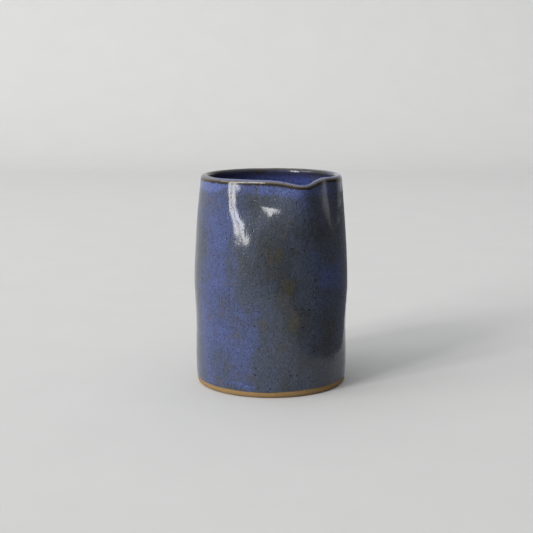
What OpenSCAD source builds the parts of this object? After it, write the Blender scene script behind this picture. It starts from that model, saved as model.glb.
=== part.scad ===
// Small hand-made stoneware pourer: a fired clay vessel with a pinched spout,
// under a thin coat of glaze outside, a lining of glaze inside, and a band
// over the lip where the same glaze has broken to brown.
// Origin at the centre of the standing face, +Z up, spout towards -Y.

/* [Vessel] */
// Height of the lip above the standing face
vessel_h = 99.5; // [92:0.5:108]
// Widest outside diameter, at the belly
belly_d = 73.4; // [70:0.1:76]
// Height of the belly
belly_z = 49; // [44:1:56]
// Outside diameter just under the lip
rim_d = 67.2; // [62:0.2:69]
// Outside diameter of the slight waist below the belly
waist_d = 72; // [69:0.2:73]
// Height of the waist
waist_z = 28; // [22:1:34]
// Outside diameter of the heel, where the wall turns to the foot
heel_d = 72.3; // [69:0.1:73]
// Height of the heel
heel_z = 14; // [11:1:17]

/* [Wall and floor] */
// Thickness of the rounded lip, with its glaze
lip_t = 3.7; // [3:0.1:5]
// Thickness of the wall above the floor, with its glaze
wall_t = 4.4; // [3.6:0.1:5.5]
// Thickness of the floor, with its glaze
floor_t = 6; // [4.5:0.1:8]
// Radius between the floor and the wall inside
fillet_r = 9; // [5:0.5:13]
// Radius of the rolled bottom edge
roll_r = 1.8; // [0.8:0.1:2]
// Diameter of the turned recess under the foot
recess_d = 54; // [40:1:60]
// Depth of that recess
recess_h = 1.2; // [0.6:0.1:2]

/* [Spout] */
// How far the spout reaches out past the round rim
spout_reach = 5; // [3:0.1:6.5]
// Width of the spout at the lip
spout_w = 16; // [12:0.5:19]
// How far the lip dips at the spout
spout_dip = 1.9; // [0:0.1:3]
// Height over which the spout fades into the wall
spout_run = 26; // [18:1:34]
// Share of its thickness that the lip loses at the spout
lip_squeeze = 0.3; // [0:0.05:0.4]

/* [Finger dents] */
// Depth of the broad dent on one side of the spout
dent = 3.5; // [0:0.1:4]
// Height at which the dent is deepest
dent_z = 88.5; // [84:0.5:92]
// Height over which the dent fades out downwards
dent_fall = 9.4; // [6:0.1:14]
// Depth of the shallow hollow that runs on from the dent
hollow = 1.2; // [0:0.1:2]
// Depth, at the lip, of the narrow crease on the other side of the spout
crease = 1.5; // [0:0.1:2]
// Height over which the crease fades out downwards
crease_fall = 18; // [10:1:26]

/* [Glaze] */
// Thickness of the coat
glaze_t = 0.35; // [0.25:0.05:0.5]
// Height of the band of bare clay left above the standing face
bare_h = 2.9; // [2.2:0.1:6]
// How far the brown band comes down outside the lip
band_h = 3.2; // [2.6:0.1:6]
// How far the brown band comes down inside the lip
inner_band_h = 2.6; // [2.2:0.1:5]

/* [Hidden] */

steps_around = 64;
wall_rings = 18;
lip_steps = 6;
inner_rings = 12;
fillet_steps = 4;

belly_r = belly_d / 2;
rim_r = rim_d / 2;
waist_r = waist_d / 2;
heel_r = heel_d / 2;
lip_r = lip_t / 2;
lip_z = vessel_h - lip_r;
band_z = vessel_h - band_h;
inner_band_z = vessel_h - inner_band_h;
fillet_z = floor_t + fillet_r;
// how much the heel draws in down to the standing face
heel_tuck = 0.5;
// the shoulder from belly to rim bends a little faster than a straight cone
shoulder_power = 1.4;
// the recess has a sloping side as wide as it is deep
recess_slope = recess_h;

// angles, in degrees around the vessel from the spout
spread = spout_w / 2.5 / rim_r * 180 / PI;
// how much wider the bulge gets, as a share, over its whole run
spread_growth = 1.1;
dip_spread = spread * 1.2;
dip_run = 12;
// where the dent lies at its deepest, and how far it drifts outwards per mm of height
dent_at = 37.5;
dent_drift = 0.83;
dent_spread = 21.5;
dent_rise = 24;
hollow_at = dent_at + dent_spread * 2.2;
crease_at = 29.5;
crease_spread = 8.6;
// rings have more points near the spout: 0 is even, 1 bunches them fully
bunching = 0.55;

function mix(a, b, t) = a + (b - a) * t;
function ease(t) = (1 - cos(180 * min(max(t, 0), 1))) / 2;
function bell(t) = exp(-t * t);

// Free surface of the wall outside, at height z, away from the spout.
function outer_r(z) =
    z < heel_z ? heel_r - heel_tuck * pow(1 - z / heel_z, 2)
    : z < waist_z ? mix(heel_r, waist_r, ease((z - heel_z) / (waist_z - heel_z)))
    : z < belly_z ? mix(waist_r, belly_r, ease((z - waist_z) / (belly_z - waist_z)))
    : mix(belly_r, rim_r, pow((z - belly_z) / (lip_z - belly_z), shoulder_power));

function wall_at(z) = mix(wall_t, lip_t, ease((z - fillet_z) / (lip_z - fillet_z)));
function inner_r(z) = outer_r(z) - wall_at(z);
function mid_r(z) = outer_r(min(z, lip_z)) - wall_at(z) / 2;

// Stretches of the section as [radius, height] points, each a depth d below
// the free surface, so that clay and glaze share the very same points.
function outside(d) =
    [for (i = [0:wall_rings])
        let (z = mix(bare_h, band_z, i / wall_rings))
        [outer_r(z) - d, z]];

function over_lip(d) =
    [for (i = [0:lip_steps])
        let (t = 180 * i / lip_steps)
        [rim_r - lip_r + (lip_r - d) * cos(t), lip_z + (lip_r - d) * sin(t)]];

function band(d) = concat(
    [[outer_r(band_z) - d, band_z]],
    over_lip(d),
    [[inner_r(inner_band_z) + d, inner_band_z]]);

function inside(d) = concat(
    [for (i = [0:inner_rings])
        let (z = mix(inner_band_z, fillet_z, i / inner_rings))
        [inner_r(z) + d, z]],
    [for (i = [1:fillet_steps])
        let (t = 90 * i / fillet_steps)
        [inner_r(fillet_z) - fillet_r + (fillet_r + d) * cos(t),
         fillet_z - (fillet_r + d) * sin(t)]]);

function foot() =
    let (clay_r = outer_r(bare_h) - glaze_t)
    [for (i = [0:3])
        let (t = 30 * i)
        [clay_r - roll_r * (1 - sin(t)), roll_r * (1 - cos(t))]];

function reversed(list) = [for (i = [len(list) - 1:-1:0]) list[i]];

// How far the wall is pressed in at the angle a and height z.
function pressed(a, z) =
    let (fade = bell((z - dent_z) / (z < dent_z ? dent_fall : dent_rise)),
         turned = a + dent_drift * (z - dent_z),
         dented = dent * bell((turned + dent_at) / dent_spread),
         hollowed = hollow * bell((turned + hollow_at) / dent_spread),
         creased = bell((a - crease_at) / crease_spread) * bell((vessel_h - z) / crease_fall))
    fade * (dented + hollowed) + crease * creased;

// A section point carried around to the angle a, with the spout pulled out.
function formed(p, a) =
    let (down = max(vessel_h - p[1], 0) / spout_run,
         fade = exp(-pow(down, 2.3)),
         near = bell(a / (spread * (1 + spread_growth * down))),
         squeeze = 1 - lip_squeeze * near * pow(fade, 3),
         r = mix(mid_r(p[1]), p[0], squeeze) + spout_reach * near * fade - pressed(a, p[1]),
         dip = spout_dip * bell(a / dip_spread)
             * ease((p[1] - vessel_h + dip_run) / dip_run))
    [r * sin(a), -r * cos(a), p[1] - dip];

function ring_angle(i) =
    let (t = 360 * i / steps_around)
    (t > 180 ? t - 360 : t) - bunching * sin(t) * 180 / PI;

function rings(section) =
    [for (p = section) for (i = [0:steps_around - 1]) formed(p, ring_angle(i))];

// Two triangles between neighbouring rings j and k. The cut always runs from
// the lower ring to the upper one, so that touching surfaces match exactly.
function patch(section, j, k) =
    [for (i = [0:steps_around - 1])
        let (n = (i + 1) % steps_around,
             a = j * steps_around + i,
             b = j * steps_around + n,
             c = k * steps_around + i,
             d = k * steps_around + n)
        each section[j][1] <= section[k][1]
            ? [[a, c, d], [a, d, b]]
            : [[a, c, b], [b, c, d]]];

// Solid ring of glaze: the section is a closed loop.
module sleeve(section) {
    count = len(section);
    polyhedron(rings(section),
               [for (j = [0:count - 1]) each patch(section, j, (j + 1) % count)],
               convexity = 6);
}

// Solid cup: the section starts under the floor and ends on top of it.
module cup(section) {
    last = len(section) - 1;
    polyhedron(rings(section),
               concat([[for (i = [0:steps_around - 1]) i]],
                      [for (j = [0:last - 1]) each patch(section, j, j + 1)],
                      [[for (i = [steps_around - 1:-1:0]) last * steps_around + i]]),
               convexity = 6);
}

module clay_body() {
    color([0.67, 0.54, 0.33])
    difference() {
        cup(concat(foot(), outside(glaze_t), over_lip(glaze_t), inside(glaze_t)));
        translate([0, 0, -recess_h])
            cylinder(h = 2 * recess_h,
                     d1 = recess_d + 2 * recess_slope,
                     d2 = recess_d - 2 * recess_slope,
                     $fn = 96);
    }
}

module outer_glaze() {
    color([0.33, 0.37, 0.52])
    sleeve(concat(outside(0), reversed(outside(glaze_t))));
}

module lip_glaze() {
    color([0.42, 0.37, 0.24])
    sleeve(concat(band(0), reversed(band(glaze_t))));
}

module inner_glaze() {
    color([0.12, 0.15, 0.34])
    cup(concat(reversed(inside(glaze_t)), inside(0)));
}

clay_body();
outer_glaze();
lip_glaze();
inner_glaze();
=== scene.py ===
import math

import bpy
import numpy as np
from mathutils import Matrix, Vector


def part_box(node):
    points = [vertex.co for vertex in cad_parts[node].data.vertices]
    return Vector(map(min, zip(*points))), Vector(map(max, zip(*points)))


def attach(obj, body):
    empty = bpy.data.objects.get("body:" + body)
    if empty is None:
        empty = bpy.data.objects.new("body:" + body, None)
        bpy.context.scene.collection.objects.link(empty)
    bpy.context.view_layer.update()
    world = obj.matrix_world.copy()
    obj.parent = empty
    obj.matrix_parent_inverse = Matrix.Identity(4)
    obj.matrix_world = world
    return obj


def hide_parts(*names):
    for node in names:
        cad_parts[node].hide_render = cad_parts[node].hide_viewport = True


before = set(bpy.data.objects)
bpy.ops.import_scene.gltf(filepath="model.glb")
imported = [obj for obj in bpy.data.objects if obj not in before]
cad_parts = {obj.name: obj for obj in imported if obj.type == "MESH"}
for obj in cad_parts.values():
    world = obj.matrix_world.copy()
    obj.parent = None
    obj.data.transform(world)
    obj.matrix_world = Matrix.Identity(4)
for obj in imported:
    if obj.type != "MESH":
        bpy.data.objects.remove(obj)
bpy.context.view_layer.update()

MM = 0.001


# ---------------------------------------------------------------- sizes
# The section is worked out in millimetres. What can be read off the packed
# model is read off it, and the rest repeats the design's own dimensions.

def node_heights(name):
    """Lowest and highest level of a CAD node, in millimetres."""
    low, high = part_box(name)
    return round(low[2] / MM, 2), round(high[2] / MM, 2)


LINING_LOW, LINING_HIGH = node_heights("inner_glaze")
VESSEL_H = node_heights("lip_glaze")[1]
BARE_H = node_heights("outer_glaze")[0]
BAND_H = 3.2
INNER_BAND_H = VESSEL_H - LINING_HIGH
GLAZE_T = 0.35

RIM_R = 33.6
BELLY_R, BELLY_Z = 36.7, 49.0
WAIST_R, WAIST_Z = BELLY_R - 0.7, 28.0
HEEL_R, HEEL_Z = BELLY_R - 0.55, 14.0
HEEL_TUCK = 0.5
SHOULDER_POWER = 1.4
LIP_T = 3.7
WALL_T = 4.4
FLOOR_T = LINING_LOW + GLAZE_T
FILLET_R = 9.0
ROLL_R = 1.8
RECESS_R = 27.0
RECESS_H = 1.2

SPOUT_REACH = 5.0
SPOUT_W = 16.0
SPOUT_DIP = 1.9
SPOUT_RUN = 26.0
LIP_SQUEEZE = 0.3
DENT = 3.5
DENT_Z = 88.5
DENT_FALL = 9.4
DENT_RISE = 24.0
HOLLOW = 1.2
CREASE = 1.5
CREASE_FALL = 18.0
GLAZE_SINK = 0.1                # keeps the raised relief under the CAD surface

LIP_R = LIP_T / 2
LIP_Z = VESSEL_H - LIP_R
FILLET_Z = FLOOR_T + FILLET_R
SPREAD = SPOUT_W / 2.5 / RIM_R
SPREAD_GROWTH = 1.1
DIP_SPREAD = SPREAD * 1.2
DIP_RUN = 12.0
DENT_AT = math.radians(37.5)
DENT_DRIFT = math.radians(0.83)
DENT_SPREAD = math.radians(21.5)
HOLLOW_AT = DENT_AT + DENT_SPREAD * 2.2
CREASE_AT = math.radians(29.5)
CREASE_SPREAD = math.radians(8.6)

# mesh fineness
AROUND = 400
BUNCHING = 0.35


def mix(a, b, t):
    return a + (b - a) * t


def ease(t):
    return (1 - np.cos(np.pi * np.clip(t, 0, 1))) / 2


def bell(t):
    return np.exp(-t * t)


def outer_r(z):
    """Free surface outside at height z, away from the spout."""
    z = np.asarray(z, float)
    heel = HEEL_R - HEEL_TUCK * (1 - z / HEEL_Z) ** 2
    waist = mix(HEEL_R, WAIST_R, ease((z - HEEL_Z) / (WAIST_Z - HEEL_Z)))
    belly = mix(WAIST_R, BELLY_R, ease((z - WAIST_Z) / (BELLY_Z - WAIST_Z)))
    rise = np.clip((z - BELLY_Z) / (LIP_Z - BELLY_Z), 0, None)
    shoulder = mix(BELLY_R, RIM_R, rise ** SHOULDER_POWER)
    return np.select([z < HEEL_Z, z < WAIST_Z, z < BELLY_Z], [heel, waist, belly], shoulder)


def wall_at(z):
    return mix(WALL_T, LIP_T, ease((z - FILLET_Z) / (LIP_Z - FILLET_Z)))


def inner_r(z):
    return outer_r(z) - wall_at(z)


def glaze_line(angle):
    """How far the lower edge of the glaze wanders up and down."""
    return 0.16 * np.sin(3 * angle + 0.6) + 0.09 * np.sin(7 * angle + 2.0) + 0.05 * np.sin(17 * angle)


def pressed(angle, z):
    """How far the wall is pressed in: a dent and a hollow to the left of the spout
    and a narrow crease to its right."""
    fade = bell((z - DENT_Z) / np.where(z < DENT_Z, DENT_FALL, DENT_RISE))
    turned = angle + DENT_DRIFT * (z - DENT_Z)
    dent = DENT * bell((turned + DENT_AT) / DENT_SPREAD)
    hollow = HOLLOW * bell((turned + HOLLOW_AT) / DENT_SPREAD)
    crease = CREASE * bell((angle - CREASE_AT) / CREASE_SPREAD) * bell((VESSEL_H - z) / CREASE_FALL)
    return fade * (dent + hollow) + crease


def formed(r, z, angle):
    """A section point carried round to an angle from the spout, with the spout pulled out."""
    down = np.maximum(VESSEL_H - z, 0) / SPOUT_RUN
    fade = np.exp(-down ** 2.3)
    near = bell(angle / (SPREAD * (1 + SPREAD_GROWTH * down)))
    squeeze = 1 - LIP_SQUEEZE * near * fade ** 3
    middle = outer_r(np.minimum(z, LIP_Z)) - wall_at(z) / 2
    radius = mix(middle, r, squeeze) + SPOUT_REACH * near * fade - pressed(angle, z)
    dip = SPOUT_DIP * bell(angle / DIP_SPREAD) * ease((z - VESSEL_H + DIP_RUN) / DIP_RUN)
    rise = glaze_line(angle) * bell((z - BARE_H) / 1.1)
    return np.stack([radius * np.sin(angle), -radius * np.cos(angle), z - dip + rise], -1)


# ------------------------------------------------------------- sections
# Each stretch is an array of (radius, height) rows. The free surface is what
# is seen of the glaze; the clay lies GLAZE_T below it.

def outside(rows, d):
    z = np.linspace(BARE_H, VESSEL_H - BAND_H, rows)
    return np.stack([outer_r(z) - d, z], 1)


def glaze_edge(rows):
    """The rounded lower edge of the coat, from the clay out to the free surface."""
    t = np.linspace(0, np.pi / 2, rows)
    clay_r = outer_r(BARE_H) - GLAZE_T
    return np.stack([clay_r + GLAZE_T * np.sin(t), BARE_H + GLAZE_T * (1 - np.cos(t))], 1)


def over_lip(rows, d):
    t = np.linspace(0, np.pi, rows)
    return np.stack([RIM_R - LIP_R + (LIP_R - d) * np.cos(t), LIP_Z + (LIP_R - d) * np.sin(t)], 1)


def inside(rows, d):
    z = np.linspace(VESSEL_H - INNER_BAND_H, FILLET_Z, rows)
    return np.stack([inner_r(z) + d, z], 1)


def fillet(rows, d):
    t = np.linspace(0, np.pi / 2, rows)
    centre = inner_r(FILLET_Z) - FILLET_R
    return np.stack([centre + (FILLET_R + d) * np.cos(t), FILLET_Z - (FILLET_R + d) * np.sin(t)], 1)


def floor_in(rows, d):
    r = np.linspace(inner_r(FILLET_Z) - FILLET_R, 0.4, rows)
    return np.stack([r, np.full(rows, FLOOR_T - d)], 1)


def foot(rows):
    """From the middle of the recess out across the standing ring and up the rolled edge."""
    clay_r = outer_r(BARE_H) - GLAZE_T
    t = np.linspace(0, np.pi / 2, rows)
    recess = [(r, RECESS_H) for r in np.linspace(0.4, RECESS_R - 2 * RECESS_H, 16)]
    slope = [(RECESS_R - RECESS_H, RECESS_H * 0.85), (RECESS_R, RECESS_H * 0.4), (RECESS_R + RECESS_H, 0)]
    ring = [(r, 0) for r in np.linspace(RECESS_R + RECESS_H + 0.6, clay_r - ROLL_R - 0.3, 6)]
    roll = np.stack([clay_r - ROLL_R * (1 - np.sin(t)), ROLL_R * (1 - np.cos(t))], 1)
    band = [(clay_r, z) for z in np.linspace(ROLL_R + 0.3, BARE_H, 6)]
    return np.concatenate([recess, slope, ring, roll, band])


# ---------------------------------------------------------------- relief

def ripple(points, size, seed, waves=28, stretch=(1, 1, 1)):
    """Smooth seeded unevenness of about unit height, with bumps of a given size."""
    rng = np.random.default_rng(seed)
    direction = rng.normal(size=(waves, 3))
    direction /= np.linalg.norm(direction, axis=1, keepdims=True)
    pitch = 2 * np.pi / size * rng.uniform(0.6, 1.4, (waves, 1))
    phase = rng.uniform(0, 2 * np.pi, waves)
    total = np.zeros(points.shape[:-1])
    for k, start in zip(direction * pitch / np.array(stretch), phase):
        total += np.sin(points @ k + start)
    return total * math.sqrt(2 / waves)


def glaze_relief(points):
    """Height of the glaze above its even surface: throwing rings, runs and small waves."""
    angle = np.arctan2(points[..., 0], -points[..., 1])
    rings = np.sin(2 * np.pi * (points[..., 2] / 8.5) + angle + 1.5 * ripple(points, 40, 3))
    return (
        0.014 * rings
        + 0.030 * ripple(points, 14, 5, stretch=(1, 1, 2))
        + 0.007 * ripple(points, 3.2, 7, stretch=(1, 1, 2))
        + 0.0025 * ripple(points, 1.4, 9)
        - GLAZE_SINK
    )


def clay_relief(points):
    return 0.02 * ripple(points, 3.0, 11) + 0.015 * ripple(points, 1.3, 13)


# ---------------------------------------------------------------- meshes

turn = 2 * np.pi * np.arange(AROUND) / AROUND
ANGLES = np.where(turn > np.pi, turn - 2 * np.pi, turn) - BUNCHING * np.sin(turn)


def grid(section):
    """Every section row carried all the way round: rows x AROUND x 3."""
    r, z = section[:, :1], section[:, 1:]
    return formed(r, z, ANGLES[None, :])


def grid_normals(points):
    """Outward normals of a grid whose rows climb the outside."""
    along = np.gradient(points, axis=0)
    around = np.roll(points, -1, 1) - np.roll(points, 1, 1)
    normal = np.cross(around, along)
    return normal / np.maximum(np.linalg.norm(normal, axis=-1, keepdims=True), 1e-12)


def raised(points, height):
    return points + grid_normals(points) * height[..., None]


def quads(first, second):
    """Faces between two rings of vertices, given by their first index."""
    i = np.arange(AROUND)
    n = (i + 1) % AROUND
    return np.stack([first + i, first + n, second + n, second + i], 1)


def make_piece(name, points, loop, replaces, material, gap):
    """A closed solid from a grid of rings. loop joins the last ring to the first;
    otherwise both ends are closed with a flat cap."""
    rows = len(points)
    pairs = [(j, (j + 1) % rows) for j in range(rows if loop else rows - 1)]
    faces = [tuple(q) for j, k in pairs for q in quads(j * AROUND, k * AROUND).tolist()]
    if not loop:
        faces.append(tuple(range(AROUND - 1, -1, -1)))
        faces.append(tuple(range((rows - 1) * AROUND, rows * AROUND)))
    mesh = bpy.data.meshes.new(name)
    mesh.from_pydata((points.reshape(-1, 3) * MM).tolist(), [], faces)
    layer = mesh.attributes.new("lip_gap", "FLOAT", "POINT")
    layer.data.foreach_set("value", gap.astype(np.float32).ravel())
    mesh.polygons.foreach_set("use_smooth", [True] * len(faces))
    mesh.update()
    mesh.set_sharp_from_angle(angle=math.radians(50))
    piece = bpy.data.objects.new(name, mesh)
    bpy.context.scene.collection.objects.link(piece)
    mesh.materials.append(material)
    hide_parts(*replaces)
    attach(piece, "root")
    return piece


# ------------------------------------------------------------- materials

class Nodes:
    """Adds and joins the nodes of one tree."""

    def __init__(self, tree, coordinates):
        self.tree = tree
        self.place = self.add("ShaderNodeTexCoord").outputs[coordinates]

    def add(self, kind, inputs=None, **settings):
        node = self.tree.nodes.new(kind)
        for key, value in settings.items():
            setattr(node, key, value)
        for key, value in (inputs or {}).items():
            self.feed(node.inputs[key], value)
        return node

    def feed(self, socket, value):
        if isinstance(value, bpy.types.NodeSocket):
            self.tree.links.new(value, socket)
        else:
            socket.default_value = value

    def math(self, operation, a, b=0.0):
        return self.add("ShaderNodeMath", {0: a, 1: b}, operation=operation).outputs[0]

    def plus(self, a, b):
        return self.math("ADD", a, b)

    def minus(self, a, b):
        return self.math("SUBTRACT", a, b)

    def times(self, a, b):
        return self.math("MULTIPLY", a, b)

    def axes(self):
        return self.add("ShaderNodeSeparateXYZ", {0: self.place}).outputs

    def scaled(self, x, y, z):
        """The coordinates, times a factor for each axis."""
        node = self.add("ShaderNodeVectorMath", {0: self.place, 1: (x, y, z)}, operation="MULTIPLY")
        return node.outputs[0]

    def noise(self, size, detail=2.0, rough=0.5, stretch=1.0, twist=0.0):
        """Noise from 0 to 1 with features of a given size in millimetres."""
        k = 1 / (size * MM)
        where = self.scaled(k, k, k / stretch)
        inputs = {"Vector": where, "Scale": 1.0, "Detail": detail, "Roughness": rough, "Distortion": twist}
        return self.add("ShaderNodeTexNoise", inputs).outputs["Fac"]

    def ramp(self, value, low, high):
        """0 at low, 1 at high, and smooth between."""
        inputs = {"Value": value, "From Min": low, "From Max": high}
        node = self.add("ShaderNodeMapRange", inputs, interpolation_type="SMOOTHSTEP")
        return node.outputs["Result"]

    def offset(self, value, middle, half_width):
        """How far a value is from the middle, in half widths, squared."""
        return self.math("POWER", self.math("DIVIDE", self.minus(value, middle), half_width), 2.0)

    def hump(self, offset):
        """1 where the squared offset is 0, falling off smoothly."""
        return self.math("EXPONENT", self.times(offset, -1.0))

    def blend(self, factor, a, b, mode="MIX"):
        node = self.add("ShaderNodeMix", data_type="RGBA", blend_type=mode)
        self.feed(node.inputs[0], factor)
        self.feed(node.inputs[6], a)
        self.feed(node.inputs[7], b)
        return node.outputs[2]

    def specks(self, spacing, radius, soft):
        """1 inside small round specks that sit about spacing apart."""
        k = 1 / (spacing * MM)
        where = self.scaled(k, k, k)
        cell = self.add("ShaderNodeTexVoronoi", {"Vector": where, "Scale": 1.0, "Randomness": 1.0})
        chance = self.add("ShaderNodeSeparateColor", {"Color": cell.outputs["Color"]}).outputs[0]
        limit = self.times(self.math("POWER", chance, 2.0), radius / spacing)
        edge = self.minus(limit, cell.outputs["Distance"])
        return self.ramp(edge, -soft / spacing, soft / spacing)

    def bump(self, height, distance, normal=None):
        inputs = {"Height": height, "Distance": distance * MM, "Strength": 1.0}
        if normal is not None:
            inputs["Normal"] = normal
        return self.add("ShaderNodeBump", inputs).outputs["Normal"]


def new_material(name):
    """A material with its node helper and its shader's inputs."""
    material = bpy.data.materials.new(name)
    material.use_nodes = True
    nodes = Nodes(material.node_tree, "Object")
    return material, nodes, material.node_tree.nodes["Principled BSDF"].inputs


def rgb(r, g, b):
    return (r, g, b, 1.0)


# glaze colours from where it lies thin to where it has pooled
THIN = rgb(0.048, 0.044, 0.031)
OLIVE = rgb(0.033, 0.039, 0.048)
SLATE = rgb(0.044, 0.054, 0.080)
BLUE = rgb(0.050, 0.066, 0.158)
POOLED = rgb(0.070, 0.096, 0.240)
DEEP = rgb(0.044, 0.058, 0.185)
# warm clouds, the lip with a painted highlight on the front of its crest, and the iron specks
WARM = rgb(0.062, 0.054, 0.046)
CREST_PAINTED_HIGHLIGHT = rgb(0.105, 0.122, 0.215)
CREST_BACK = rgb(0.070, 0.076, 0.070)
BROWN = rgb(0.110, 0.082, 0.042)
UMBER = rgb(0.018, 0.014, 0.010)
SPECK = rgb(0.008, 0.009, 0.014)

# places on the front where the glaze is made thicker or thinner than usual, most of them
# clouds in the glaze and two of them partly painted light and painted shade: degrees round
# from the spout, height in mm, half width in degrees, half height in mm, change in depth
DRIFTS_AND_PAINTED_LIGHT = [
    (-28, 66, 20, 17, -0.30),
    (-30, 54, 12, 6, -0.12),
    (-6, 34, 7, 6, -0.40),
    (-72, 84, 14, 12, 0.16),
    (-62, 70, 6, 7, 0.22),
    (-50, 62, 3, 5, 0.20),
    (-82, 32, 18, 12, 0.14),
    (22, 56, 14, 10, 0.16),
    (-20, 17, 5, 9, 0.10),
    # painted shade, partly real olive glaze: low on the right, away from the windows, the glaze is made
    # darker and more olive
    (14, 22, 24, 20, -0.26),
    # painted light, partly real blue glaze: the whole left side, which faces the windows, is made lighter
    # and bluer
    (-68, 46, 26, 60, 0.16),
    (-8, 80, 24, 8, -0.16),
    (-12, 50, 7, 6, -0.24),
    (50, 60, 18, 36, 0.16),
    (-45, 5.5, 10, 1.0, 0.45),
]
# how far noise pushes the outlines of those places about, in degrees and in mm
WANDER_ROUND = 16.0
WANDER_UP = 9.0

# the blue roll under the lip: it fades between these distances below the lip, and on the
# front it is at its fullest this many degrees round from the spout
ROLL_ENDS = (7.5, 10.5)
ROLL_AT, ROLL_HALF_WIDTH = -18.0, 26.0


def glaze_depth_and_painted_light(n, gap, depth_here, drifts_and_painted_light):
    """How deep the glaze looks, from about 0 where it is thin to 1 where it has pooled. The
    drifts it is given can also paint light and shade into it.
    """
    x, y, z = n.axes()
    angle = n.times(n.math("ARCTAN2", x, n.times(y, -1.0)), 180 / math.pi)
    angle = n.plus(angle, n.times(n.noise(9, 3.0, 0.6), WANDER_ROUND))
    height = n.plus(n.times(z, 1 / MM), n.times(n.noise(5, 4.0, 0.7), WANDER_UP))
    clouds = n.times(n.noise(16, 3.0, 0.6, 1.3, 0.5), 0.90)
    runs = n.times(n.noise(4, 3.0, 0.65, 3.0), 0.34)
    mottling = n.times(n.noise(1.1, 3.0, 0.7, 2.2), 0.40)
    depth_and_painted_light = n.plus(n.plus(n.plus(clouds, runs), mottling), depth_here - 0.82)
    ragged = n.plus(gap, n.times(n.noise(2.5, 4.0, 0.7, 2.0), 5.0))
    roll = n.ramp(ragged, ROLL_ENDS[1], ROLL_ENDS[0])
    patches = n.ramp(n.noise(14, 2.0, 0.5), 0.40, 0.58)
    front = n.hump(n.offset(angle, ROLL_AT, ROLL_HALF_WIDTH))
    depth_and_painted_light = n.plus(depth_and_painted_light, n.times(n.times(roll, n.math("MAXIMUM", patches, front)), 0.50))
    # some drifts are painted light and painted shade: the left side lighter and bluer, low on the right
    # darker
    for at, up, wide, tall, change in drifts_and_painted_light:
        across = n.offset(angle, at + WANDER_ROUND / 2, wide)
        along = n.offset(height, up + WANDER_UP / 2, tall)
        depth_and_painted_light = n.plus(depth_and_painted_light, n.times(n.hump(n.plus(across, along)), change))
    return depth_and_painted_light


def lip_colours(n, gap, far, colour):
    """Brown and umber where the glaze breaks below the crest, and a crest with a painted highlight:
    pale on its front half, darker olive on its back half. Inside, the glaze is dark for a few
    millimetres below the lip."""
    y = n.axes()[1]
    ticks = n.times(n.noise(0.7, 3.0, 0.8, 4.0), n.ramp(gap, -0.2, 0.2))
    colour = n.blend(n.ramp(n.minus(far, n.times(ticks, 3.4)), 1.0, 0.5), colour, UMBER)
    colour = n.blend(n.ramp(n.minus(far, ticks), 0.9, 0.55), colour, BROWN)
    inner = n.times(n.ramp(gap, -6.5, -2.0), n.ramp(gap, 0.2, -0.2))
    colour = n.blend(n.times(inner, 0.75), colour, UMBER)
    # painted highlight: the crest is painted pale on its front half, toward the camera, and darker olive on
    # its back half
    crest_with_highlight = n.blend(n.ramp(y, 0.015, -0.015), CREST_BACK, CREST_PAINTED_HIGHLIGHT)
    return n.blend(n.ramp(n.minus(far, n.times(ticks, 0.4)), 0.75, 0.3), colour, crest_with_highlight)


def glaze_material(name, depth_here, pooled, drifts_and_painted_light):
    """Mottled glaze that shifts between thin olive and pooled blue, with a brown break at
    the lip and dark iron specks, under a glossy skin. The drifts it is given can also paint
    light on the left side and shade low on the right."""
    material, n, shader = new_material(name)
    gap = n.add("ShaderNodeAttribute", attribute_name="lip_gap").outputs["Fac"]
    far = n.math("ABSOLUTE", gap)
    depth_and_painted_light = glaze_depth_and_painted_light(n, far, depth_here, drifts_and_painted_light)
    colour = n.blend(n.ramp(depth_and_painted_light, 0.0, 0.28), THIN, OLIVE)
    colour = n.blend(n.ramp(depth_and_painted_light, 0.22, 0.50), colour, SLATE)
    colour = n.blend(n.ramp(depth_and_painted_light, 0.48, 0.80), colour, BLUE)
    colour = n.blend(n.ramp(depth_and_painted_light, 0.78, 1.10), colour, pooled)
    warm = n.ramp(n.noise(7, 4.0, 0.65, 1.2, 0.6), 0.54, 0.70)
    colour = n.blend(n.times(warm, 0.55), colour, WARM)
    fine = n.noise(0.6, 3.0, 0.75, 1.6)
    shade = n.math("MAXIMUM", n.plus(n.times(fine, 2.8), -0.4), 0.2)
    colour = n.blend(1.0, colour, shade, "MULTIPLY")
    colour = lip_colours(n, gap, far, colour)
    dark = n.math("MAXIMUM", n.specks(3.0, 0.55, 0.12), n.specks(1.3, 0.36, 0.12))
    n.feed(shader["Base Color"], n.blend(n.times(dark, 0.9), colour, SPECK))
    n.feed(shader["Roughness"], n.plus(n.times(fine, 0.08), 0.07))
    shader["IOR"].default_value = 1.45
    pits = n.times(dark, -1.0)
    n.feed(shader["Normal"], n.bump(pits, 0.03, n.bump(n.noise(0.7, 2.0, 0.5), 0.02)))
    return material


def clay_material():
    """Bare fired stoneware: ochre, gritty and matt."""
    material, n, shader = new_material("bare_clay")
    ochre = n.blend(n.noise(6, 4.0, 0.6), rgb(0.20, 0.122, 0.045), rgb(0.27, 0.168, 0.066))
    grit = n.times(n.specks(1.1, 0.25, 0.1), 0.6)
    n.feed(shader["Base Color"], n.blend(grit, ochre, rgb(0.10, 0.055, 0.02)))
    n.feed(shader["Roughness"], n.ramp(n.noise(1.0, 3.0), -2.0, 1.0))
    n.feed(shader["Normal"], n.bump(n.noise(0.5, 4.0, 0.7), 0.06))
    return material


# ------------------------------------------------------------- the mug

EDGE_ROWS = 6

CLAY_WALL = outside(40, GLAZE_T)
CLAY_LIP = over_lip(18, GLAZE_T)
CLAY_INSIDE = inside(50, GLAZE_T)
CLAY_FLOOR = np.concatenate([fillet(10, GLAZE_T)[1:], floor_in(8, GLAZE_T)[1:]])


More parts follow.
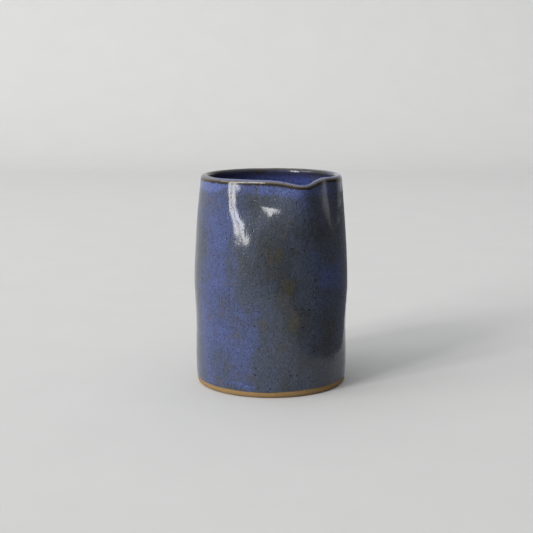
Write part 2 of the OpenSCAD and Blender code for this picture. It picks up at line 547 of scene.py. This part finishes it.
def lip_gap(section):
    """How far a row lies below the lip: positive outside, negative past the crest."""
    gap = VESSEL_H - section[:, 1:]
    past = np.arange(len(section))[:, None] > np.argmax(section[:, 1])
    return np.repeat(np.where(past, -gap, gap), AROUND, 1)


def free_surface():
    """The free surface of all the glaze, from its lower edge over the lip to the middle of
    the floor: its section, its points, and the rows where the lip coat and lining begin."""
    edge = glaze_edge(EDGE_ROWS)
    wall = outside(186, 0)
    wall = wall[wall[:, 1] > edge[-1, 1]]
    up = np.concatenate([edge, wall, over_lip(34, 0)])
    down = np.concatenate([inside(110, 0), fillet(22, 0)[1:], floor_in(30, 0)[1:]])
    section = np.concatenate([up, down])
    weight = np.clip(np.arange(len(section)) / (EDGE_ROWS - 1), 0, 1)
    points = grid(section)
    points = raised(points, glaze_relief(points) * weight[:, None])
    lip_row = int(np.argmax(section[:, 1] >= VESSEL_H - BAND_H))
    return section, points, lip_row, len(up)


def make_clay():
    """The clay, with a slight grit on its bare foot that leaves the standing ring flat."""
    foot_section = foot(9)
    level = foot_section[:, 1:]
    gritty = np.clip(level / 0.5, 0, 1) * (level < BARE_H - 0.2)
    foot_points = grid(foot_section)
    foot_points = raised(foot_points, clay_relief(foot_points) * gritty)
    foot_points[..., 2] = np.maximum(foot_points[..., 2], 0)
    covered = np.concatenate([CLAY_WALL[1:], CLAY_LIP, CLAY_INSIDE, CLAY_FLOOR])
    points = np.concatenate([foot_points, grid(covered)])
    gap = lip_gap(np.concatenate([foot_section, covered]))
    make_piece("clay", points, False, ["clay_body"], clay_material(), gap)


def make_glaze():
    """The coat outside, the coat over the lip and the lining. Each is a stretch of the free
    surface, closed by the clay's surface behind it."""
    blue = glaze_material("blue_glaze", 0.52, POOLED, DRIFTS_AND_PAINTED_LIGHT)
    lining = glaze_material("lining_glaze", 0.95, DEEP, [])
    section, free, lip_row, lining_row = free_surface()
    free_gap = lip_gap(section)

    wall_back = CLAY_WALL[1:]
    rows = slice(0, lip_row + 1)
    points = np.concatenate([free[rows], grid(wall_back)[::-1]])
    gap = np.concatenate([free_gap[rows], lip_gap(wall_back)[::-1]])
    make_piece("outer_coat", points, True, ["outer_glaze"], blue, gap)

    lip_back = np.concatenate([CLAY_WALL[-1:], CLAY_LIP, CLAY_INSIDE[:1]])
    rows = slice(lip_row, lining_row + 1)
    points = np.concatenate([free[rows], grid(lip_back)[::-1]])
    gap = np.concatenate([free_gap[rows], lip_gap(lip_back)[::-1]])
    make_piece("lip_coat", points, True, ["lip_glaze"], blue, gap)

    lining_back = np.concatenate([CLAY_INSIDE, CLAY_FLOOR])
    points = np.concatenate([grid(lining_back)[::-1], free[lining_row:]])
    gap = np.concatenate([lip_gap(lining_back)[::-1], free_gap[lining_row:]])
    make_piece("lining", points, False, ["inner_glaze"], lining, gap)


make_clay()
make_glaze()


# ------------------------------------------------------------- the studio

# metres and degrees; azimuths are counted to the right from where the camera stands
VIEW_AZIMUTH = 24.0             # the camera stands this far round from the spout
CAMERA_OUT = 0.5513
CAMERA_UP = 0.1508
CAMERA_PITCH = 9.85
CAMERA_YAW = 0.22
CAMERA_ROLL = -0.16
LENS = 79.0

SWEEP_BACK = 1.1                # where the table starts to curve up into the wall
SWEEP_BEND = 0.5
SWEEP_TOP = 2.2
SWEEP_HALF = 2.4                # half its width
FLOOR_END = 3.2                 # how far the floor reaches to the front and right
TABLE_EDGE = 0.26               # how far the mirrored table reaches to the front
TABLE_RIGHT = 0.09              # and to the right

WINDOW_DISTANCE = 2.5
WINDOW_TOP = 2.2
WINDOW_COLOUR = (1.0, 0.985, 0.965)
# name, azimuth, width in degrees, lower edge, radiance
WINDOWS = [
    ("pane_left", -51.2, 8.0, 0.165, 15.0),
    ("pane_right", -41.2, 8.0, 0.165, 15.0),
    ("window_far", -75.0, 26.0, 0.9, 4.0),
]

WASH_POWER = 12.5
ROOM_BRIGHT_SIDE = -90
ROOM_BRIGHT = 0.7
ROOM_DIM = 0.14
ROOM_CEILING = 0.40


def from_camera(azimuth, distance, height):
    """A point at an azimuth counted to the right from where the camera stands."""
    a = math.radians(azimuth - VIEW_AZIMUTH)
    return Vector((math.sin(a) * distance, -math.cos(a) * distance, height))


def make_camera():
    data = bpy.data.cameras.new("camera")
    data.lens = LENS
    data.sensor_width = 36.0
    data.clip_start = 0.01
    camera = bpy.data.objects.new("camera", data)
    bpy.context.scene.collection.objects.link(camera)
    heading = Matrix.Rotation(math.radians(CAMERA_YAW - VIEW_AZIMUTH), 4, "Z")
    pitch = Matrix.Rotation(math.radians(90 - CAMERA_PITCH), 4, "X")
    roll = Matrix.Rotation(math.radians(CAMERA_ROLL), 4, "Z")
    camera.matrix_world = Matrix.Translation(from_camera(0, CAMERA_OUT, CAMERA_UP)) @ heading @ pitch @ roll
    bpy.context.scene.camera = camera


def make_window(name, azimuth, width_angle, low, radiance):
    """A bright upright panel, like a window, that faces the mug."""
    data = bpy.data.lights.new(name, "AREA")
    data.shape = "RECTANGLE"
    data.size = 2 * WINDOW_DISTANCE * math.tan(math.radians(width_angle / 2))
    data.size_y = WINDOW_TOP - low
    data.energy = radiance * math.pi * data.size * data.size_y
    data.color = WINDOW_COLOUR
    window = bpy.data.objects.new(name, data)
    bpy.context.scene.collection.objects.link(window)
    place = from_camera(azimuth, WINDOW_DISTANCE, (low + WINDOW_TOP) / 2)
    window.location = place
    inward = Vector((-place.x, -place.y, 0))
    window.rotation_euler = inward.to_track_quat("-Z", "Y").to_euler()
    window.visible_camera = False


def stage_piece(name, points, faces, material):
    """A smooth piece of the studio, drawn in camera-aligned coordinates."""
    across = Matrix.Rotation(math.radians(-VIEW_AZIMUTH), 4, "Z")
    mesh = bpy.data.meshes.new(name)
    mesh.from_pydata([tuple(across @ Vector(p)) for p in points], [], faces)
    mesh.polygons.foreach_set("use_smooth", [True] * len(faces))
    mesh.materials.append(material)
    piece = bpy.data.objects.new(name, mesh)
    bpy.context.scene.collection.objects.link(piece)
    return piece


def paper_material():
    """Plain pale paper, matt, with the faintest unevenness."""
    material, n, shader = new_material("paper")
    tone = n.blend(n.noise(40, 3.0), rgb(0.575, 0.575, 0.57), rgb(0.605, 0.605, 0.60))
    n.feed(shader["Base Color"], tone)
    shader["Roughness"].default_value = 0.9
    shader["Specular IOR Level"].default_value = 0.1
    return material


def make_sweep():
    """A pale table that runs back and curves up into a plain wall well behind the mug.
    The glaze mirrors the table only as far as its front and right edges, so the floor
    beyond those edges is kept out of reflections and bounced light."""
    paper = paper_material()
    t = np.linspace(0, np.pi / 2, 24)
    curve = [(SWEEP_BACK + SWEEP_BEND * math.sin(a), SWEEP_BEND * (1 - math.cos(a))) for a in t]
    curve.append((SWEEP_BACK + SWEEP_BEND, SWEEP_TOP))
    points = [(x, y, z) for y, z in curve for x in (-SWEEP_HALF, SWEEP_HALF)]
    faces = [(2 * i, 2 * i + 1, 2 * i + 3, 2 * i + 2) for i in range(len(curve) - 1)]
    stage_piece("sweep", points, faces, paper)
    turns = np.linspace(-np.pi / 2, np.pi / 2, 49)
    edge = [(min(TABLE_EDGE * math.sin(a), TABLE_RIGHT), -TABLE_EDGE * math.cos(a), 0) for a in turns]
    table = edge + [(TABLE_RIGHT, SWEEP_BACK, 0), (-SWEEP_HALF, SWEEP_BACK, 0), (-SWEEP_HALF, 0, 0)]
    stage_piece("table", table, [tuple(range(len(table)))], paper)
    beyond = [
        (-SWEEP_HALF, 0, 0),
        (-SWEEP_HALF, -FLOOR_END, 0),
        (FLOOR_END, -FLOOR_END, 0),
        (FLOOR_END, SWEEP_BACK, 0),
        (TABLE_RIGHT, SWEEP_BACK, 0),
    ]
    beyond += edge[::-1]
    floor = stage_piece("floor_beyond", beyond, [tuple(range(len(beyond)))], paper)
    floor.visible_glossy = False
    floor.visible_diffuse = False


def make_wash():
    """Light on the wall behind, facing away from the mug."""
    data = bpy.data.lights.new("wall_wash", "AREA")
    data.shape = "RECTANGLE"
    data.size = 3.0
    data.size_y = 0.6
    data.energy = WASH_POWER
    wash = bpy.data.objects.new("wall_wash", data)
    bpy.context.scene.collection.objects.link(wash)
    wash.location = from_camera(180, 0.1, 1.6)
    aim = from_camera(180, 1.6, 1.3) - wash.location
    wash.rotation_euler = aim.to_track_quat("-Z", "Y").to_euler()
    wash.visible_camera = False
    wash.visible_glossy = False


def make_world():
    """A room that is light on the window side and overhead, and dim on the other side."""
    world = bpy.data.worlds.new("world")
    world.use_nodes = True
    n = Nodes(world.node_tree, "Generated")
    bright = from_camera(ROOM_BRIGHT_SIDE, 1.0, 0.25)
    side = n.add("ShaderNodeVectorMath", {0: n.place, 1: bright}, operation="DOT_PRODUCT")
    walls = n.times(n.ramp(side.outputs["Value"], -0.5, 1.0), ROOM_BRIGHT - ROOM_DIM)
    ceiling = n.times(n.ramp(n.axes()[2], 0.35, 0.85), ROOM_CEILING)
    background = world.node_tree.nodes["Background"].inputs
    n.feed(background["Strength"], n.plus(n.plus(walls, ROOM_DIM), ceiling))
    background["Color"].default_value = rgb(0.97, 0.98, 1.0)
    bpy.context.scene.world = world


make_camera()
make_sweep()
make_world()
make_wash()
for window in WINDOWS:
    make_window(*window)
bpy.context.scene.view_settings.view_transform = "Standard"
